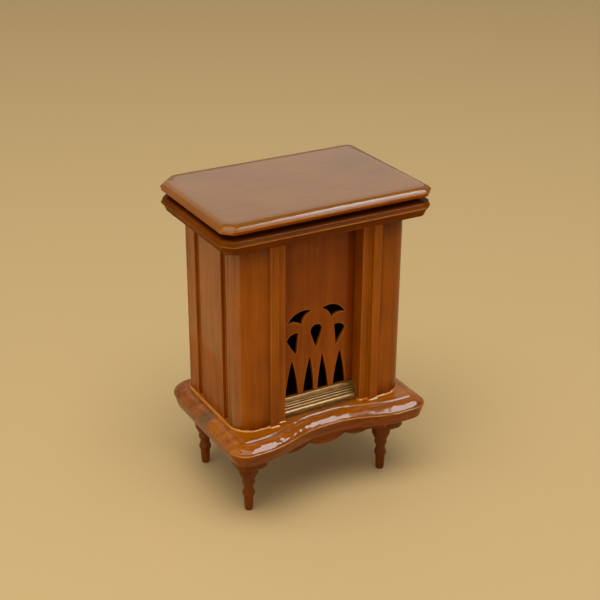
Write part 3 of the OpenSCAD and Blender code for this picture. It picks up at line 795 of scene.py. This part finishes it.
# A leg's turning as (radius, height): foot, shank, bead, vase and cup.
LEG_PROFILE = [(0.55, 0.0), (0.9, 0.04), (1.08, 0.25), (1.14, 0.7), (1.24, 2.6), (1.31, 4.2), (1.33, 4.38),
               (1.47, 4.46), (1.6, 4.75), (1.66, 5.15), (1.6, 5.55), (1.42, 6.1), (1.28, 6.7), (1.3, 7.2),
               (1.48, 7.75), (1.66, 8.2), (1.72, 8.55), (1.68, 8.85), (1.6, 9.08), (1.56, 9.22), (1.62, 9.36),
               (1.8, 9.75), (2.02, 10.2), (2.2, 10.7), (2.28, 11.0), (2.4, 11.12), (2.52, 11.4), (2.58, 12.0)]
LEG_COLLAR = 2.66


def make_legs(m):
    """Legs, the corner blocks above them, and the front apron."""
    for name in ("front_left", "front_right", "rear_left", "rear_right"):
        node = "leg_" + name
        low, high = box_mm(node)
        axis = ((low.x + high.x) / 2, (low.y + high.y) / 2)
        block_low, _ = box_mm("corner_block_" + name)
        collar = [(LEG_COLLAR, block_low.z - 0.05), (LEG_COLLAR, block_low.z)]
        profile = smooth_profile(LEG_PROFILE, 3) + collar
        leg = lathe(node + "_finish", profile, axis)
        finish(leg, "cabinet", "turned_wood", m["leg"], node)
        block = softened("corner_block_" + name, 0.5 if name.startswith("front") else 0.25, 4)
        finish(block, "cabinet", "turned_wood", m["block"], "corner_block_" + name)
    apron = softened("front_apron", 0.3, 4, angle=50)
    finish(apron, "cabinet", "case_wood", m["apron"], "front_apron")


# ---- case ------------------------------------------------------------------------------


# For each kind of piece in the case: radius of its edges, how far it sinks into the next piece, and material.
CASE_PIECES = {"side_panel": (0.22, (0, 0), "side"), "corner_post": (0.12, (0, 0), "post"),
               "outer_strip": (0.2, (0, 0.4), "strip"), "inner_strip": (0.12, (0.3, 0), "inner_strip")}


def make_case(m):
    """Side panels, posts and strips of the case, the fretwork and the back."""
    for kind, (width, sink, material) in CASE_PIECES.items():
        for side in ("left", "right"):
            node = f"{kind}_{side}"
            piece = softened(node, width, sink=sink)
            finish(piece, "cabinet", "case_wood", m[material], node)
    panel = softened("fret_panel", 0.14, 2, angle=30)
    finish(panel, "cabinet", "case_wood", m["fret"], "fret_panel")
    back = softened("back_board", 0.15)
    finish(back, "cabinet", "inner_wood", m["back"], "back_board")


def cross(a, b, c):
    """Above 0 where the way from a by b to c turns left."""
    return (b[0] - a[0]) * (c[1] - a[1]) - (b[1] - a[1]) * (c[0] - a[0])


def hull(points):
    """Convex outline of a set of (x, y) points, counter-clockwise."""
    ordered = sorted(set(points))
    sides = []
    for run in (ordered, ordered[::-1]):
        side = []
        for p in run:
            while len(side) > 1 and cross(side[-2], side[-1], p) <= 0:
                side.pop()
            side.append(p)
        sides += side[:-1]
    return sides


def divided(outline, longest):
    """The closed outline with its long stretches divided."""
    points = []
    for i, (x0, y0) in enumerate(outline):
        x1, y1 = outline[(i + 1) % len(outline)]
        pieces = max(1, math.ceil(math.dist((x0, y0), (x1, y1)) / longest))
        points += [(x0 + (x1 - x0) * k / pieces, y0 + (y1 - y0) * k / pieces) for k in range(pieces)]
    return points


def foot_outline(node):
    """Convex outline of a CAD node's lowest face."""
    bottom = box_mm(node)[0].z
    verts = [v.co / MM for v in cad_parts[node].data.vertices]
    return hull([(round(v.x, 3), round(v.y, 3)) for v in verts if v.z < bottom + ON_FACE])


BEAD_WIDTH = (0.34, 0.16)    # mean, and how much it swells and shrinks
BEAD_HEIGHT = (0.36, 0.22)
BEAD_SECTION = ((1.0, 0.0), (0.86, 0.28), (0.62, 0.52), (0.34, 0.72), (0.1, 0.92), (-0.1, 1.0))
SWELL_SIZE = 1.1


def make_varnish(m):
    """Bead of lacquer that has run down and set in the corner between the case and the base."""
    deck = box_mm("base_board")[1].z
    bm = bmesh.new()
    for kind in CASE_PIECES:
        for side in ("left", "right"):
            points = divided(foot_outline(f"{kind}_{side}"), longest=0.3)
            count = len(points)
            rings = []
            for reach, rise in BEAD_SECTION:
                ring = []
                for i, (x, y) in enumerate(points):
                    before, after = points[i - 1], points[(i + 1) % count]
                    out = Vector((after[1] - before[1], before[0] - after[0])).normalized()
                    swell = waves((x, y, 0), SWELL_SIZE, 5)
                    width = BEAD_WIDTH[0] + BEAD_WIDTH[1] * swell
                    height = BEAD_HEIGHT[0] + BEAD_HEIGHT[1] * swell
                    ring.append((x + out.x * width * reach, y + out.y * width * reach, deck + height * rise))
                rings.append(ring)
            add_rings(bm, rings)
    bead = make_object("varnish_bead", bm, smooth=70)
    finish(bead, "cabinet", "case_wood", m["varnish"])


# Beads of the gilt strip as ((depth, height), radius, and the degrees where its arc starts and ends).
GILT_BEADS = [((1.02, 3.12), 0.2, 80, -55), ((1.3, 2.62), 0.34, 80, -55), ((1.66, 2.02), 0.19, 80, -60)]
NOTCH_PITCH = 0.5            # of the notches across the top bead
NOTCH_DEPTH = 0.07
GILT_STEPS = 176


def make_gilt_moulding(m):
    """Reeded strip: a plain sloping band, two thin beads round a bold one, and a round foot."""
    low, high = box_mm("gilt_moulding")
    back, foot = high.y, low.z
    profile = [(0.0, 4.42), (0.3, 4.42), (0.44, 4.34), (0.62, 3.98), (0.8, 3.55), (0.84, 3.36)]
    for centre, radius, start, end in GILT_BEADS:
        profile += arc(centre, radius, start, end, 6)
    profile += [(1.8, 1.74)] + arc((1.62, 0.85), 0.92, 70, 0, 8)
    profile += [(2.58, 0.5), (2.58, 0.05), (2.5, 0.0), (0.0, 0.0)]
    (top_depth, top_z), top_radius = GILT_BEADS[0][:2]
    bm = bmesh.new()
    rings = []
    for i in range(GILT_STEPS + 1):
        x = low.x + (high.x - low.x) * i / GILT_STEPS
        ring = []
        for depth, z in profile:
            on_top_bead = math.hypot(depth - top_depth, z - top_z) < top_radius + 0.05 and depth > 0.95
            cut = NOTCH_DEPTH * (0.5 - 0.5 * math.cos(2 * math.pi * x / NOTCH_PITCH)) if on_top_bead else 0.0
            ring.append((x, back - depth + cut, foot + z))
        rings.append(ring)
    add_rings(bm, rings)
    strip = make_object("gilt_moulding_finish", bm, smooth=50)
    finish(strip, "cabinet", "gilt_brass", m["gilt"], "gilt_moulding")


# ---- inside the case and under the lid ---------------------------------------------------


def make_inside(m):
    """Blocks, cleats and dowels that hold the case together, and the deck board in the well."""
    for side in ("left", "right"):
        for kind in ("glue_block", "deck_cleat"):
            node = f"{kind}_{side}"
            finish(softened(node, 0.12), "cabinet", "raw_wood", m["raw"], node)
    paint("case_dowels", m["raw"])
    deck = softened("deck_board", 0.08, 2)
    finish(deck, "cabinet", "inner_wood", m["deck"], "deck_board")


CARD_MARGIN = 0.2            # between the dial card's rim and that of its plate
CARD_FOOT = 0.6              # how far the card reaches on in front of its half round
CARD_SINK = 0.12             # of the card's face below the plate's top
STROKES = 24
STROKE_SPAN = (12, 156)      # degrees where the scale starts, and its sweep
LONG_EVERY = 4
SHORT_STROKE = (1.0, 0.04)   # how far in from the rim it starts, and half its width
LONG_STROKE = (1.5, 0.07)
STROKE_END = 0.45            # how far in from the rim every stroke ends
STROKE_HEIGHT = 0.035
EDGE_STEPS = 48              # of the card's half round and of the brass edge that follows it
EDGE_SIDES = 8
EDGE_INSET = 0.06            # of the brass edge's middle from the card's rim
EDGE_SINK = 0.14             # of the brass edge's middle below the plate's top
EDGE_SECTION = (0.16, 0.13)  # half its width and half its height


def make_dial_card(m, centre, radius, low, face):
    """The half-round card, from low up to just under face."""
    foot = centre[1] - CARD_FOOT
    outline = [(radius, foot)] + arc(centre, radius, 0, 180, EDGE_STEPS) + [(-radius, foot)]
    bm = bmesh.new()
    add_rings(bm, [[(x, y, z) for x, y in outline] for z in (low, face - CARD_SINK)])
    card = rounded(make_object("dial_card", bm), 0.06, 2)
    finish(card, "cabinet", "inner_wood", m["dial"], "dial_plate")


def make_dial_edge(m, centre, radius, face):
    """A round brass bead along the card's half round."""
    bm = bmesh.new()
    rings = []
    for i in range(EDGE_STEPS + 1):
        a = math.pi * i / EDGE_STEPS
        ring = []
        for k in range(EDGE_SIDES):
            b = 2 * math.pi * k / EDGE_SIDES
            r = radius - EDGE_INSET + EDGE_SECTION[0] * math.cos(b)
            z = face - EDGE_SINK + EDGE_SECTION[1] * math.sin(b)
            ring.append((r * math.cos(a), centre[1] + r * math.sin(a), z))
        rings.append(ring)
    add_rings(bm, rings)
    edge = make_object("dial_edge", bm)
    finish(edge, "cabinet", "gilt_brass", m["gilt"])


def make_dial_strokes(m, centre, radius, face):
    """The scale's strokes, as thin raised bars of ink."""
    bm = bmesh.new()
    start, sweep = STROKE_SPAN
    for i in range(STROKES + 1):
        a = math.radians(start + sweep * i / STROKES)
        length, half = LONG_STROKE if i % LONG_EVERY == 0 else SHORT_STROKE
        inner, outer = radius - length, radius - STROKE_END
        along, across = Vector((math.cos(a), math.sin(a), 0)), Vector((-math.sin(a), math.cos(a), 0))
        base = Vector((centre[0], centre[1], face - CARD_SINK))
        rings = []
        for z in (0.0, STROKE_HEIGHT):
            rings.append([base + along * r + across * s * half + Vector((0, 0, z))
                          for r, s in ((inner, -1), (outer, -1), (outer, 1), (inner, 1))])
        add_rings(bm, rings)
    marks = make_object("dial_strokes", bm)
    finish(marks, "cabinet", "inner_wood", m["ink"])


def make_dial(m):
    """Half-round dial card with a raised brass edge, scale strokes and a pointer."""
    low, high = box_mm("dial_plate")
    radius = high.x - CARD_MARGIN
    centre = (0.0, high.y - high.x)
    make_dial_card(m, centre, radius, low.z, high.z)
    make_dial_edge(m, centre, radius, high.z)
    make_dial_strokes(m, centre, radius, high.z)
    pointer = softened("dial_pointer", 0.04, 2)
    finish(pointer, "cabinet", "inner_wood", m["knob"], "dial_pointer")


KNOB_FLUTES = 18
FLUTE_DEPTH = 0.07           # as a share of the knob's radius
MARK_HALF_WIDTH = 0.09
MARK_REACH = (0.45, 1.15)    # where a knob's mark starts and ends, from its axis
MARK_SINK = (0.3, 0.08)      # how far below the knob's top the mark's bottom and top lie


def make_knob_mark(m, control, axis, top):
    """A short gilt bar let into the knob's top, which shows how far it is turned."""
    near, far = MARK_REACH
    corners = [(axis[0] + s * MARK_HALF_WIDTH, axis[1] + reach)
               for s, reach in ((-1, near), (1, near), (1, far), (-1, far))]
    bm = bmesh.new()
    add_rings(bm, [[(x, y, top - sunk) for x, y in corners] for sunk in MARK_SINK])
    mark = rounded(make_object(control + "_knob_mark", bm), 0.03, 2)
    finish(mark, control + "_control", "gilt_brass", m["gilt"])


def make_knobs(m):
    """Fluted knobs, each with a mark in its top, and their spindles."""
    for control in ("tuning", "volume"):
        node = control + "_knob"
        low, high = box_mm(node)
        axis = ((low.x + high.x) / 2, (low.y + high.y) / 2)
        radius = (high.x - low.x) / 2
        bottom, top = low.z, high.z
        grip_top = top - 0.55
        profile = [(radius * 0.7, bottom), (radius * 0.96, bottom + 0.02), (radius, bottom + 0.12),
                   (radius, bottom + 0.3), (radius * 0.93, bottom + 0.42), (radius * 0.94, grip_top - 0.2),
                   (radius * 0.92, grip_top), (radius * 0.82, top - 0.3), (radius * 0.7, top - 0.2),
                   (radius * 0.62, top - 0.24), (radius * 0.5, top - 0.1), (radius * 0.3, top - 0.01),
                   (0.05, top)]

        def ripple(angle, z):
            fluted = bottom + 0.35 < z < grip_top + 0.05
            return 1 - FLUTE_DEPTH * (0.5 - 0.5 * math.cos(KNOB_FLUTES * angle)) ** 2 if fluted else 1

        knob = lathe(node + "_finish", smooth_profile(profile, 3), axis, steps=144, ripple=ripple)
        finish(knob, control + "_control", "turned_wood", m["knob"], node)
        make_knob_mark(m, control, axis, top)
        paint(control + "_spindle", m["hinge"])


def make_hinges(m):
    """Leaves of the lid's two hinges with eased edges, and their pins and nails."""
    for side in ("left", "right"):
        fixed = softened(f"hinge_fixed_leaf_{side}", 0.05, 2, angle=50)
        finish(fixed, "cabinet", "hinge_brass", m["hinge"], f"hinge_fixed_leaf_{side}")
        moving = softened(f"hinge_lid_leaf_{side}", 0.05, 2, angle=50)
        finish(moving, "lid", "hinge_brass", m["hinge"], f"hinge_lid_leaf_{side}")
    for node in ("hinge_pin_left", "hinge_pin_right", "hinge_nails_fixed", "hinge_nails_lid"):
        paint(node, m["hinge"])


make_camera()
make_light()
make_floor()
materials = make_materials()
make_base_board(materials)
make_legs(materials)
make_case(materials)
make_varnish(materials)
make_gilt_moulding(materials)
make_inside(materials)
make_dial(materials)
make_knobs(materials)
make_cornice(materials)
make_lid(materials)
make_hinges(materials)
